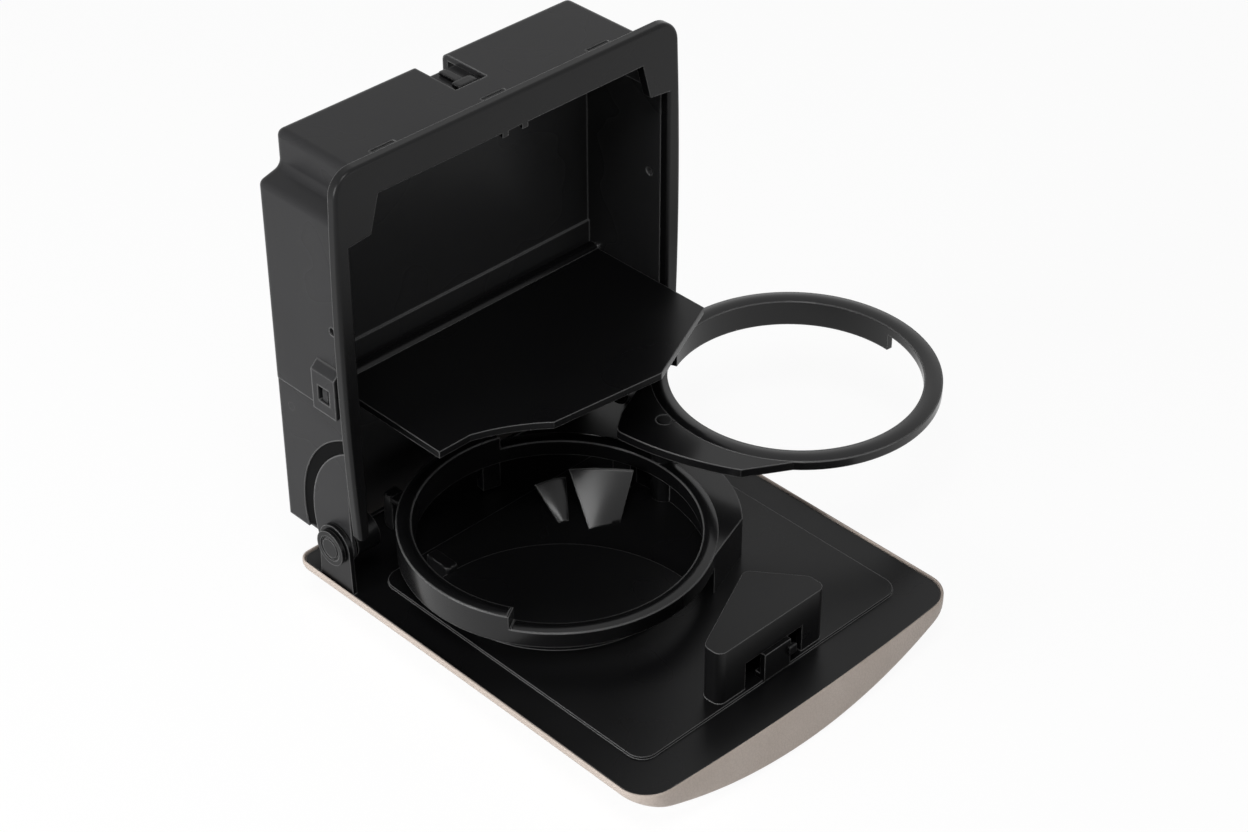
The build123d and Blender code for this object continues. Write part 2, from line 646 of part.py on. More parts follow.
# Fixed ring: low at the front and right, high at the back and left, on legs from the panel.
with BuildPart() as fixed_ring:
    sector(RING_X, RING_Y, RING_INNER, RING_OUTER, HIGH_START, HIGH_END, RING_FOOT, RING_HIGH)
    low_end = HIGH_START + FULL_TURN
    sector(RING_X, RING_Y, RING_INNER, RING_OUTER, HIGH_END, low_end, RING_FOOT, RING_LOW)
    for leg_angle in LEG_ANGLES:
        sector(
            RING_X, RING_Y, RING_INNER + LEG_INSET, RING_OUTER - LEG_INSET,
            leg_angle - LEG_SPREAD, leg_angle + LEG_SPREAD, FIELD_TOP, RING_FOOT + LEG_INSET,
        )
    with BuildSketch(Plane.XY.offset(FIELD_TOP)):
        with Locations((PIVOT_X, PIVOT_Y)):
            Circle(POST_RADIUS)
    extrude(amount=POST_TOP - FIELD_TOP)
    with BuildSketch(Plane.XY.offset(FIELD_TOP)):
        with BuildLine():
            plate_start = polar(RING_X, RING_Y, RING_OUTER, PLATFORM_START)
            plate_end = polar(RING_X, RING_Y, RING_OUTER, PLATFORM_END)
            band_middle = (RING_INNER + RING_OUTER) / 2
            under_ring = polar(RING_X, RING_Y, band_middle, (PLATFORM_START + PLATFORM_END) / 2)
            Line(plate_start, PLATFORM_BACK)
            ThreePointArc(PLATFORM_BACK, PLATFORM_SIDE, PLATFORM_FRONT)
            Line(PLATFORM_FRONT, plate_end)
            ThreePointArc(plate_end, under_ring, plate_start)
        make_face()
    extrude(amount=RING_LOW - FIELD_TOP)
    tab_half = math.degrees(WALL_TAB_WIDTH / RING_INNER) / 2
    sector(
        RING_X, RING_Y, RING_INNER - WALL_TAB_DEPTH, RING_INNER + LEG_INSET,
        WALL_TAB_ANGLE - tab_half, WALL_TAB_ANGLE + tab_half, RING_FOOT + LEG_INSET, RING_LOW - LEG_INSET,
    )
    with Locations((PIVOT_X, PIVOT_Y, POST_TOP - PIVOT_PIN_DEPTH / 2)):
        Cylinder(PIVOT_PIN_RADIUS, PIVOT_PIN_DEPTH, mode=Mode.SUBTRACT)
write(fixed_ring, "fixed_ring")

# Swinging ring: a flat band with a part skirt and a blade that reaches the pivot.
with BuildPart() as swing_ring:
    with BuildSketch(Plane.XY.offset(SWING_FOOT)):
        with Locations((SWING_X, SWING_Y)):
            Circle(SWING_OUTER)
        with BuildLine():
            arm_front_end = polar(SWING_X, SWING_Y, SWING_OUTER, ARM_FRONT_ANGLE)
            arm_back_end = polar(SWING_X, SWING_Y, SWING_OUTER, ARM_BACK_ANGLE)
            ThreePointArc(ARM_LEFT, ARM_EDGE, ARM_FRONT)
            Polyline(ARM_FRONT, arm_front_end, (SWING_X, SWING_Y), arm_back_end, ARM_BACK, ARM_LEFT)
        make_face()
        with Locations((SWING_X, SWING_Y)):
            Circle(SWING_INNER, mode=Mode.SUBTRACT)
        with Locations((PIVOT_X, PIVOT_Y)):
            Circle(PIVOT_PIN_RADIUS + PIN_RUNNING_GAP, mode=Mode.SUBTRACT)
    extrude(amount=SWING_TOP - SWING_FOOT)
    sector(
        SWING_X, SWING_Y, SWING_INNER, SWING_INNER + SKIRT_WALL,
        SKIRT_START, SKIRT_END, SKIRT_FOOT, SWING_FOOT,
    )
    arm_edges = swing_ring.edges().filter_by(Axis.Z).sort_by(Axis.X)
    fillet(arm_edges[0], ARM_CORNER)
write(swing_ring, "swing_ring")

# Pivot pin of the swinging ring, with the thin washer under the ring's boss.
with BuildPart() as pivot_pin:
    pin_foot = POST_TOP - PIVOT_PIN_DEPTH
    with Locations((PIVOT_X, PIVOT_Y, (pin_foot + SWING_TOP) / 2)):
        Cylinder(PIVOT_PIN_RADIUS, SWING_TOP - pin_foot)
    fillet(pivot_pin.edges().sort_by(Axis.Z)[-1], PIVOT_PIN_ROUND)
write(pivot_pin, "pivot_pin")

with BuildPart() as pivot_washer:
    washer_inner = PIVOT_PIN_RADIUS + PIN_RUNNING_GAP
    ring_solid(PIVOT_X, PIVOT_Y, washer_inner, POST_RADIUS, POST_TOP, SWING_FOOT - WASHER_GAP)
write(pivot_washer, "pivot_washer")

# Rear flap: a thin plate with a shaped front edge, on a rod across the well.
with BuildPart() as rear_flap:
    with BuildSketch(Plane.XY.offset(FLAP_Z - FLAP_THICK / 2)):
        with BuildLine():
            left_rise = (FLAP_RISE_X, FLAP_LEFT_FRONT)
            right_front = (FLAP_RIGHT, FLAP_RIGHT_FRONT)
            Polyline((FLAP_LEFT, FLAP_AXIS_Y), (FLAP_LEFT, FLAP_LEFT_FRONT), left_rise)
            ThreePointArc(left_rise, FLAP_CURVE, FLAP_MID_LEFT)
            Polyline(FLAP_MID_LEFT, FLAP_MID_RIGHT, right_front, (FLAP_RIGHT, FLAP_AXIS_Y))
            Line((FLAP_RIGHT, FLAP_AXIS_Y), (FLAP_LEFT, FLAP_AXIS_Y))
        make_face()
    extrude(amount=FLAP_THICK)
    rod_along_x(FLAP_LEFT, FLAP_RIGHT, FLAP_AXIS_Y, FLAP_Z, FLAP_KNUCKLE)
    rod_along_x(FLAP_LEFT, FLAP_RIGHT, FLAP_AXIS_Y, FLAP_Z, ROD_RADIUS + PIN_RUNNING_GAP, Mode.SUBTRACT)
write(rear_flap, "rear_flap")

with BuildPart() as flap_rod:
    rod_end = OPENING_HALF_WIDTH + ROD_SEAT
    rod_along_x(-rod_end, rod_end, FLAP_AXIS_Y, FLAP_Z, ROD_RADIUS)
write(flap_rod, "flap_rod")
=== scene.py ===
"""A fold-down console cup holder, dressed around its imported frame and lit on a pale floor."""
import json
import logging
import math
from dataclasses import dataclass, field
from enum import Enum
from typing import Sequence

import bmesh
import bpy
import numpy as np
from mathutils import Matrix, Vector


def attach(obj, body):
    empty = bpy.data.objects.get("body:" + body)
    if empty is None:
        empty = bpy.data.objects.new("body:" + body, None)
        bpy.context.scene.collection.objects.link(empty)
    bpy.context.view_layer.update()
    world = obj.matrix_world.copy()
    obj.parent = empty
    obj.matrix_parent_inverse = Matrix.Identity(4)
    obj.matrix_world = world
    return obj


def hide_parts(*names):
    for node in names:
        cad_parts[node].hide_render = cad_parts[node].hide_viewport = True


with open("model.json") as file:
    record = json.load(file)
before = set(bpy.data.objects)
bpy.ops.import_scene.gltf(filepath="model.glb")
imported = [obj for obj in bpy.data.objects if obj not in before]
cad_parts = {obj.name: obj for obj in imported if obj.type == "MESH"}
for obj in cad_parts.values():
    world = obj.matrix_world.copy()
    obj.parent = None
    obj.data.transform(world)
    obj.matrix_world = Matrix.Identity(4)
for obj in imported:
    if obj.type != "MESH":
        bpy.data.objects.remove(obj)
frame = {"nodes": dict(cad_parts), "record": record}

LOG = logging.getLogger("cup_holder")
MM = 0.001
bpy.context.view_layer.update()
SHARP_ANGLE = math.radians(38.0)
WELD_DISTANCE = 1e-7
FULL_TURN = 360.0
NOISE_SPREAD = (0.3, 0.7)
EDGE_DOT = (0.995, 0.75)
EDGE_SAMPLES = 6
CREASE_WIDTH = 0.12
PEBBLE_WIDTH = 0.25
BOX_ROWS = 25
BOX_COLUMNS = 48
BOX_EDGE_POWER = 2.2
SIDE_TO_CORNER_POINTS = 4
BOW_REACH = 4
WHITE = (1.0, 1.0, 1.0, 1.0)


class Body(str, Enum):
    """The moving bodies that a piece can ride on."""

    HOUSING = "housing"
    LID = "lid"
    RING = "ring"
    FLAP = "flap"
    LATCH = "latch"


class Slot(str, Enum):
    """The record's material slots."""

    SATIN = "satin_black"
    SHELL = "shell_black"
    RING = "ring_black"
    SKIN = "beige_skin"
    WIRE = "spring_steel"


class Wrap(Enum):
    """How a grid of points closes on itself."""

    OPEN = (False, False)
    ROUND = (True, False)
    TUBE = (True, True)


class Turn(Enum):
    """Which way the axis of a turned piece runs."""

    UPRIGHT = "z"
    ACROSS = "x"


# Meshes


def mesh_from_grid(name: str, grid: np.ndarray, wrap: Wrap, caps: bool = False) -> bpy.types.Object:
    """Turn a grid of points into a quad mesh object.

    The first grid direction runs along the surface and the second runs round it.

    Args:
        name: The new object's name.
        grid: Points in metres, shaped (rows, columns, 3).
        wrap: Whether columns, and rows too, join end to start.
        caps: Whether the first and last rows are closed by a face each.

    Returns:
        The new mesh object, linked to the scene and at the origin.
    """
    rows, columns = grid.shape[:2]
    round_columns, round_rows = wrap.value
    row_index = np.arange(rows if round_rows else rows - 1)
    column_index = np.arange(columns if round_columns else columns - 1)
    r, c = np.meshgrid(row_index, column_index, indexing="ij")
    r_next = (r + 1) % rows
    c_next = (c + 1) % columns
    quads = np.stack(
        [r * columns + c, r * columns + c_next, r_next * columns + c_next, r_next * columns + c], axis=-1
    ).reshape(-1, 4)
    faces = [tuple(int(v) for v in quad) for quad in quads]
    if caps:
        faces.append(tuple(range(columns - 1, -1, -1)))
        faces.append(tuple((rows - 1) * columns + np.arange(columns)))
    mesh = bpy.data.meshes.new(name)
    mesh.from_pydata(grid.reshape(-1, 3).tolist(), [], faces)
    mesh.validate()
    mesh.update()
    piece = bpy.data.objects.new(name, mesh)
    bpy.context.scene.collection.objects.link(piece)
    outward(piece)
    mesh.polygons.foreach_set("use_smooth", np.ones(len(mesh.polygons), dtype=bool))
    mesh.set_sharp_from_angle(angle=SHARP_ANGLE)
    return piece


def outward(piece: bpy.types.Object) -> None:
    """Point a closed mesh's faces outwards.

    Args:
        piece: The mesh object to turn right side out.
    """
    work = bmesh.new()
    work.from_mesh(piece.data)
    bmesh.ops.remove_doubles(work, verts=work.verts, dist=WELD_DISTANCE)
    bmesh.ops.recalc_face_normals(work, faces=work.faces)
    work.to_mesh(piece.data)
    work.free()


def turned_wall(
    name: str,
    centre: Sequence[float],
    profile: np.ndarray,
    start: float,
    end: float,
    steps: int = 96,
    turn: Turn = Turn.UPRIGHT,
) -> bpy.types.Object:
    """Carry a closed (radius, height) profile round an axis between two angles.

    Args:
        name: The new object's name.
        centre: X and Y of an upright axis, or Y and Z of one across, in millimetres.
        profile: Points (radius, height along the axis) in millimetres, the last joining the first.
        start: First angle in degrees.
        end: Last angle in degrees.
        steps: How many stations the turn has.
        turn: Which way the axis runs.

    Returns:
        The wall as a closed mesh object.
    """
    angle = np.radians(np.linspace(start, end, steps))[:, None]
    radius, height = profile[:, 0][None], profile[:, 1][None]
    first = centre[0] + radius * np.cos(angle)
    second = centre[1] + radius * np.sin(angle)
    along = np.broadcast_to(height, first.shape)
    whole = abs(end - start) >= FULL_TURN
    order = [first, second, along] if turn is Turn.UPRIGHT else [along, first, second]
    grid = np.stack(order, axis=-1) * MM
    if whole:
        return mesh_from_grid(name, grid[:-1], Wrap.TUBE)
    return mesh_from_grid(name, grid, Wrap.ROUND, caps=True)


def rounded_box(
    name: str, low: Sequence[float], high: Sequence[float], edge: float, sharpness: float = 7.0
) -> bpy.types.Object:
    """A box with soft edges: a superellipsoid, |x|^n + |y|^n + |z|^n = 1, stretched to the box.

    Args:
        name: The new object's name.
        low: Lowest corner in millimetres.
        high: Highest corner in millimetres.
        edge: Wanted edge radius in millimetres, which raises the power where the box is large beside it.
        sharpness: Lowest power used.

    Returns:
        The box as a closed mesh object.
    """
    low_corner, high_corner = np.asarray(low, float), np.asarray(high, float)
    half = (high_corner - low_corner) / 2
    power = max(sharpness, BOX_EDGE_POWER * float(half.min()) / edge)
    lat = np.linspace(-math.pi / 2, math.pi / 2, BOX_ROWS)[:, None]
    lon = np.linspace(-math.pi, math.pi, BOX_COLUMNS, endpoint=False)[None]
    upward = np.broadcast_to(np.sin(lat), (BOX_ROWS, BOX_COLUMNS))
    unit = np.stack([np.cos(lat) * np.cos(lon), np.cos(lat) * np.sin(lon), upward], axis=-1)
    length = (np.abs(unit) ** power).sum(axis=-1, keepdims=True) ** (1.0 / power)
    grid = (low_corner + high_corner) / 2 + unit / length * half
    return mesh_from_grid(name, grid * MM, Wrap.ROUND)


def rounded_plan(
    half_width: float,
    back: float,
    front: float,
    bow: float,
    back_corner: float,
    front_corner: float,
    per: int = 12,
) -> np.ndarray:
    """The lid's plan: a rectangle with four corner arcs and a front edge bowed as a parabola.

    Args:
        half_width: Half the width in millimetres.
        back: Y of the back edge.
        front: Y of the front edge at its furthest.
        bow: How far the front edge's middle stands ahead of its ends.
        back_corner: Radius of the back corners.
        front_corner: Radius of the front corners.
        per: Points in each corner; each side has a fixed multiple of it.

    Returns:
        Points shaped (n, 2), anticlockwise from the back right corner.
    """
    quarter = np.linspace(0, math.pi / 2, per)
    corners = (
        (half_width - back_corner, back - back_corner, back_corner, 0.0),
        (-half_width + back_corner, back - back_corner, back_corner, math.pi / 2),
        (-half_width + front_corner, front + front_corner, front_corner, math.pi),
        (half_width - front_corner, front + front_corner, front_corner, 1.5 * math.pi),
    )
    arcs = [
        np.stack([x + r * np.cos(quarter + lead), y + r * np.sin(quarter + lead)], axis=-1)
        for x, y, r, lead in corners
    ]
    share = np.linspace(0, 1, SIDE_TO_CORNER_POINTS * per)[1:-1, None]
    runs = []
    for arc, following in zip(arcs, arcs[1:] + arcs[:1]):
        runs += [arc, arc[-1] * (1 - share) + following[0] * share]
    plan = np.concatenate(runs)
    bow_length = BOW_REACH * front_corner
    near_front = np.clip((front + bow_length - plan[:, 1]) / bow_length, 0.0, 1.0)
    plan[:, 1] += bow * near_front * (plan[:, 0] / half_width) ** 2
    return plan


# Finishes


@dataclass(frozen=True)
class MouldedPlastic:
    """A moulded black plastic with fine texture, faint flow marks, softened edges and a painted highlight
    lightening its edges.
    """

    name: str
    colour: tuple[float, float, float]
    roughness: float
    grain_scale: float = 1400.0
    grain_depth: float = 0.03
    edge_mm: float = 0.5
    painted_edge_highlight: float = 0.2
    pale: float = 1.4
    coat: float = 0.0
    coat_roughness: float = 0.12
    specular: float = 0.2
    ior: float = 1.5
    rough_swing: float = 0.06
    grain_detail: float = 3.0
    cloud_share: float = 0.02
    cloud_detail: float = 2.0
    relief: float = 0.00006

    def build(self) -> bpy.types.Material:
        """Make the material.

        Returns:
            The finished material.
        """
        tree = MaterialTree(self.name)
        speckle = tree.group(speckle_group(), Scale=self.grain_scale, Detail=self.grain_detail)
        cloud_scale = self.grain_scale * self.cloud_share
        cloud = tree.group(speckle_group(), Scale=cloud_scale, Detail=self.cloud_detail)
        edge = tree.group(edge_group(), Radius=self.edge_mm * MM)
        base = tree.mix_colour(tuple(self.pale * c for c in self.colour), self.colour, cloud["Mask"])
        # Painted highlight: edges are lifted towards a lighter colour to stand in for light caught on the
        # rounded fillets.
        edge_highlight_colour = tuple(c + self.painted_edge_highlight for c in self.colour)
        edge_toned = tree.mix_between(base, edge_highlight_colour, edge["Mask"], 1.0)
        tree.link(edge_toned, tree.surface.inputs["Base Color"])
        smooth, dull = self.roughness - self.rough_swing, self.roughness + self.rough_swing
        rough = tree.scale_value(cloud["Mask"], smooth, dull)
        tree.link(rough, tree.surface.inputs["Roughness"])
        tree.surface.inputs["IOR"].default_value = self.ior
        tree.surface.inputs["Specular IOR Level"].default_value = self.specular
        tree.surface.inputs["Coat Weight"].default_value = self.coat
        tree.surface.inputs["Coat Roughness"].default_value = self.coat_roughness
        tree.bump(speckle["Mask"], self.grain_depth, self.relief, edge["Normal"])
        return tree.material


@dataclass(frozen=True)
class SoftSkin:
    """A soft warm skin with pebble grain, pores, slight mottling and painted shade darkening the grain's
    creases.
    """

    name: str
    colour: tuple[float, float, float]
    shade: tuple[float, float, float]
    roughness: float
    pebble_scale: float = 900.0
    depth: float = 0.35
    relief: float = 0.00012
    cloud_scale: float = 45.0
    cloud_detail: float = 4.0
    crease_shade_tone: float = 0.82
    crease_shade_share: float = 0.35
    smoother: float = 0.05
    duller: float = 0.07
    sheen: float = 0.12
    sheen_roughness: float = 0.5
    edge_mm: float = 0.6
    wear: float = 1.1
    wear_share: float = 0.5

    def build(self) -> bpy.types.Material:
        """Make the material.

        Returns:
            The finished material.
        """
        tree = MaterialTree(self.name)
        pebble = tree.group(pebble_group(), Scale=self.pebble_scale)
        cloud = tree.group(speckle_group(), Scale=self.cloud_scale, Detail=self.cloud_detail)
        base = tree.mix_colour(self.shade, self.colour, cloud["Mask"])
        # Painted shade: the grain's creases are darkened in the base colour.
        crease_shade = tuple(self.crease_shade_tone * c for c in self.shade)
        crease_shaded = tree.mix_between(base, crease_shade, pebble["Crease"], self.crease_shade_share)
        edge = tree.group(edge_group(), Radius=self.edge_mm * MM)
        rubbed = tuple(self.wear * c for c in self.colour)
        edge_toned = tree.mix_between(crease_shaded, rubbed, edge["Mask"], self.wear_share)
        tree.link(edge_toned, tree.surface.inputs["Base Color"])
        smooth, dull = self.roughness - self.smoother, self.roughness + self.duller
        rough = tree.scale_value(cloud["Mask"], smooth, dull)
        tree.link(rough, tree.surface.inputs["Roughness"])
        tree.surface.inputs["Sheen Weight"].default_value = self.sheen
        tree.surface.inputs["Sheen Roughness"].default_value = self.sheen_roughness
        tree.bump(pebble["Height"], self.depth, self.relief, None)
        return tree.material


@dataclass(frozen=True)
class DrawnSteel:
    """Bright steel with fine drawing marks."""

    name: str
    colour: tuple[float, float, float]
    roughness: float
    marks_scale: float = 2600.0
    marks_detail: float = 2.0
    marks_tone: float = 0.8
    smoother: float = 0.05
    duller: float = 0.1
    depth: float = 0.05
    relief: float = 0.00005
    edge_mm: float = 0.2
    wear: float = 1.3
    wear_share: float = 0.7

    def build(self) -> bpy.types.Material:
        """Make the material.

        Returns:
            The finished material.
        """
        tree = MaterialTree(self.name)
        marks = tree.group(speckle_group(), Scale=self.marks_scale, Detail=self.marks_detail)
        shade = tree.mix_colour(tuple(self.marks_tone * c for c in self.colour), self.colour, marks["Mask"])
        edge = tree.group(edge_group(), Radius=self.edge_mm * MM)
        rubbed = tuple(self.wear * c for c in self.colour)
        edge_toned = tree.mix_between(shade, rubbed, edge["Mask"], self.wear_share)
        tree.link(edge_toned, tree.surface.inputs["Base Color"])
        tree.surface.inputs["Metallic"].default_value = 1.0
        smooth, dull = self.roughness - self.smoother, self.roughness + self.duller
        rough = tree.scale_value(marks["Mask"], smooth, dull)
        tree.link(rough, tree.surface.inputs["Roughness"])
        tree.bump(marks["Mask"], self.depth, self.relief, None)
        return tree.material


class MaterialTree:
    """One material's nodes, with short calls for the links that the finishes repeat."""

    def __init__(self, name: str) -> None:
        """Start a material with a Principled surface.

        Args:
            name: The material's name.
        """
        self.material = bpy.data.materials.new(name)
        self.material.use_nodes = True
        self.nodes = self.material.node_tree.nodes
        self.links = self.material.node_tree.links
        self.surface = self.nodes["Principled BSDF"]
        self.coords = self.nodes.new("ShaderNodeTexCoord")

    def link(self, source: bpy.types.NodeSocket, target: bpy.types.NodeSocket) -> None:
        """Join two sockets.

        Args:
            source: The output socket.
            target: The input socket.
        """
        self.links.new(source, target)

    def group(self, tree: bpy.types.NodeTree, **values: float) -> bpy.types.bpy_prop_collection:
        """Place a shared group on the object's own coordinates.

        Args:
            tree: The node group.
            values: Its named input values.

        Returns:
            The group node's outputs.
        """
        node = self.nodes.new("ShaderNodeGroup")
        node.node_tree = tree
        for key, value in values.items():
            node.inputs[key].default_value = value
        if "Vector" in node.inputs:
            self.link(self.coords.outputs["Object"], node.inputs["Vector"])
        return node.outputs

    def mix_colour(
        self, low: tuple[float, ...], high: tuple[float, ...], mask: bpy.types.NodeSocket
    ) -> bpy.types.NodeSocket:
        """Blend two plain colours by a mask.

        Args:
            low: Colour where the mask is 0.
            high: Colour where the mask is 1.
            mask: The mask.

        Returns:
            The blended colour's socket.
        """
        ramp = self.nodes.new("ShaderNodeValToRGB")
        ramp.color_ramp.elements[0].color = (*low, 1.0)
        ramp.color_ramp.elements[1].color = (*high, 1.0)
        self.link(mask, ramp.inputs["Fac"])
        return ramp.outputs["Color"]

    def mix_between(
        self, base: bpy.types.NodeSocket, over: tuple[float, ...], mask: bpy.types.NodeSocket, most: float
    ) -> bpy.types.NodeSocket:
        """Lay a plain colour over a varying one.

        Args:
            base: The varying colour.
            over: The colour laid over it.
            mask: Where it lies.
            most: The most of it that shows.

        Returns:
            The blended colour's socket.
        """
        mix = self.nodes.new("ShaderNodeMix")
        mix.data_type = "RGBA"
        self.link(self.scale_value(mask, 0.0, most), mix.inputs["Factor"])
        self.link(base, mix.inputs["A"])
        mix.inputs["B"].default_value = (*over, 1.0)
        return mix.outputs["Result"]

    def scale_value(self, value: bpy.types.NodeSocket, low: float, high: float) -> bpy.types.NodeSocket:
        """Carry a mask from 0..1 to low..high.

        Args:
            value: The mask.
            low: Result at 0.
            high: Result at 1.

        Returns:
            The scaled value's socket.
        """
        node = self.nodes.new("ShaderNodeMapRange")
        node.inputs["To Min"].default_value = low
        node.inputs["To Max"].default_value = high
        self.link(value, node.inputs["Value"])
        return node.outputs["Result"]

    def bump(
        self,
        height: bpy.types.NodeSocket,
        strength: float,
        distance: float,
        normal: bpy.types.NodeSocket | None,
    ) -> None:
        """Give the surface relief.

        Args:
            height: The height mask.
            strength: How strongly it shows.
            distance: Its depth in metres.
            normal: A normal to start from, or none.
        """
        node = self.nodes.new("ShaderNodeBump")
        node.inputs["Strength"].default_value = strength
        node.inputs["Distance"].default_value = distance
        self.link(height, node.inputs["Height"])
        if normal is not None:
            self.link(normal, node.inputs["Normal"])
        self.link(node.outputs["Normal"], self.surface.inputs["Normal"])


def new_group(
    name: str, inputs: dict[str, str], outputs: dict[str, str]
) -> tuple[bpy.types.NodeTree, bpy.types.Node, bpy.types.Node]:
    """Start a shader node group.

    Args:
        name: The group's name.
        inputs: Socket name to socket type.
        outputs: Socket name to socket type.

    Returns:
        The tree, its input node and its output node.
    """
    tree = bpy.data.node_groups.new(name, "ShaderNodeTree")
    for key, kind in inputs.items():
        tree.interface.new_socket(name=key, in_out="INPUT", socket_type=kind)
    for key, kind in outputs.items():
        tree.interface.new_socket(name=key, in_out="OUTPUT", socket_type=kind)
    return tree, tree.nodes.new("NodeGroupInput"), tree.nodes.new("NodeGroupOutput")


def speckle_group() -> bpy.types.NodeTree:
    """The shared fine noise mask: fractal noise spread to the full 0..1 range.

    Returns:
        The node group, made once.
    """
    name = "fine_speckle"
    if name in bpy.data.node_groups:
        return bpy.data.node_groups[name]
    tree, given, result = new_group(
        name,
        {"Vector": "NodeSocketVector", "Scale": "NodeSocketFloat", "Detail": "NodeSocketFloat"},
        {"Mask": "NodeSocketFloat"},
    )
    noise = tree.nodes.new("ShaderNodeTexNoise")
    spread = tree.nodes.new("ShaderNodeMapRange")
    spread.inputs["From Min"].default_value = NOISE_SPREAD[0]
    spread.inputs["From Max"].default_value = NOISE_SPREAD[1]
    tree.links.new(given.outputs["Vector"], noise.inputs["Vector"])
    tree.links.new(given.outputs["Scale"], noise.inputs["Scale"])
    tree.links.new(given.outputs["Detail"], noise.inputs["Detail"])
    tree.links.new(noise.outputs["Fac"], spread.inputs["Value"])
    tree.links.new(spread.outputs["Result"], result.inputs["Mask"])
    return tree


def edge_group() -> bpy.types.NodeTree:
    """The shared soft edge: a rounded normal, and a mask where it leaves the flat one.

    Returns:
        The node group, made once.
    """
    name = "soft_edge"
    if name in bpy.data.node_groups:
        return bpy.data.node_groups[name]
    tree, given, result = new_group(
        name, {"Radius": "NodeSocketFloat"}, {"Normal": "NodeSocketVector", "Mask": "NodeSocketFloat"}
    )
    rounded = tree.nodes.new("ShaderNodeBevel")
    rounded.samples = EDGE_SAMPLES
    flat = tree.nodes.new("ShaderNodeNewGeometry")
    dot = tree.nodes.new("ShaderNodeVectorMath")
    dot.operation = "DOT_PRODUCT"
    spread = tree.nodes.new("ShaderNodeMapRange")
    spread.inputs["From Min"].default_value = EDGE_DOT[0]
    spread.inputs["From Max"].default_value = EDGE_DOT[1]
    tree.links.new(given.outputs["Radius"], rounded.inputs["Radius"])
    tree.links.new(rounded.outputs["Normal"], dot.inputs[0])
    tree.links.new(flat.outputs["Normal"], dot.inputs[1])
    tree.links.new(dot.outputs["Value"], spread.inputs["Value"])
    tree.links.new(rounded.outputs["Normal"], result.inputs["Normal"])
    tree.links.new(spread.outputs["Result"], result.inputs["Mask"])
    return tree


def pebble_group() -> bpy.types.NodeTree:
    """The shared skin grain: rounded cells parted by creases, from distance to cell edges.

    Returns:
        The node group, made once.
    """
    name = "pebble_grain"
    if name in bpy.data.node_groups:
        return bpy.data.node_groups[name]
    tree, given, result = new_group(
        name,
        {"Vector": "NodeSocketVector", "Scale": "NodeSocketFloat"},
        {"Height": "NodeSocketFloat", "Crease": "NodeSocketFloat"},
    )
    cells = tree.nodes.new("ShaderNodeTexVoronoi")
    cells.feature = "DISTANCE_TO_EDGE"
    crease = tree.nodes.new("ShaderNodeMapRange")
    crease.inputs["From Min"].default_value = 0.0
    crease.inputs["From Max"].default_value = CREASE_WIDTH
    crease.inputs["To Min"].default_value = 1.0
    crease.inputs["To Max"].default_value = 0.0
    height = tree.nodes.new("ShaderNodeMapRange")
    height.inputs["From Max"].default_value = PEBBLE_WIDTH
    height.interpolation_type = "SMOOTHSTEP"
    tree.links.new(given.outputs["Vector"], cells.inputs["Vector"])
    tree.links.new(given.outputs["Scale"], cells.inputs["Scale"])
    tree.links.new(cells.outputs["Distance"], crease.inputs["Value"])
    tree.links.new(cells.outputs["Distance"], height.inputs["Value"])
    tree.links.new(crease.outputs["Result"], result.inputs["Crease"])
    tree.links.new(height.outputs["Result"], result.inputs["Height"])
    return tree


@dataclass
class Palette:
    """The object's finishes: one material for each slot, and a near-black sheet of painted shade for the
    grooves.
    """

    satin: MouldedPlastic = MouldedPlastic("satin_moulding", (0.004, 0.004, 0.0043), 0.3)
    shell: MouldedPlastic = MouldedPlastic(
        "shell_moulding", (0.027, 0.027, 0.028), 0.29, edge_mm=0.9, pale=1.15, specular=0.1
    )
    ring: MouldedPlastic = MouldedPlastic(
        "ring_moulding", (0.004, 0.004, 0.0043), 0.24, edge_mm=0.7, coat=0.1, specular=0.28
    )
    # Painted shade: a dull near-black sheet for the shallow side grooves, standing in for the shade of a
    # deep slot.
    groove_shade: MouldedPlastic = MouldedPlastic(
        "painted_slot_shade", (0.003, 0.003, 0.0032), 0.6, painted_edge_highlight=0.01, specular=0.03
    )
    skin: SoftSkin = SoftSkin("soft_skin", (0.63, 0.545, 0.485), (0.55, 0.465, 0.405), 0.55)
    wire: DrawnSteel = DrawnSteel("drawn_wire", (0.6, 0.6, 0.61), 0.3)
    made: dict[Slot, bpy.types.Material] = field(default_factory=dict)
    dark: bpy.types.Material | None = None

    def build(self) -> None:
        """Make every material."""
        finishes = {
            Slot.SATIN: self.satin,
            Slot.SHELL: self.shell,
            Slot.RING: self.ring,
            Slot.SKIN: self.skin,
            Slot.WIRE: self.wire,
        }
        self.made = {slot: finish.build() for slot, finish in finishes.items()}
        self.dark = self.groove_shade.build()

    def dress_frame(self) -> None:
        """Give every CAD node the finish of its slot."""
        for entry in frame["record"]["subparts"]:
            node = frame["nodes"][entry["node"]]
            node.data.materials.clear()
            node.data.materials.append(self.made[Slot(entry["material_slot"])])

    def dress(self, piece: bpy.types.Object, slot: Slot, body: Body, dark: bool = False) -> None:
        """Give a new piece its finish and its body.

        Args:
            piece: The new piece.
            slot: Its material slot.
            body: The body that it rides on.
            dark: Whether the near-black sheet of painted shade stands in for the slot's own finish.
        """
        piece.data.materials.append(self.dark if dark else self.made[slot])
        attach(piece, body.value)
        LOG.info("%s rides on %s", piece.name, body.value)


# Sub-assemblies


@dataclass(frozen=True)
class Block:
    """A small soft-edged box between two corners, in millimetres."""

    name: str
    low: tuple[float, float, float]
    high: tuple[float, float, float]
    edge: float = 0.5

    def build(self, palette: Palette, slot: Slot, body: Body) -> None:
        """Make the box.

        Args:
            palette: The finishes.
            slot: Its material slot.
            body: The body that it rides on.
        """
        palette.dress(rounded_box(self.name, self.low, self.high, self.edge), slot, body)


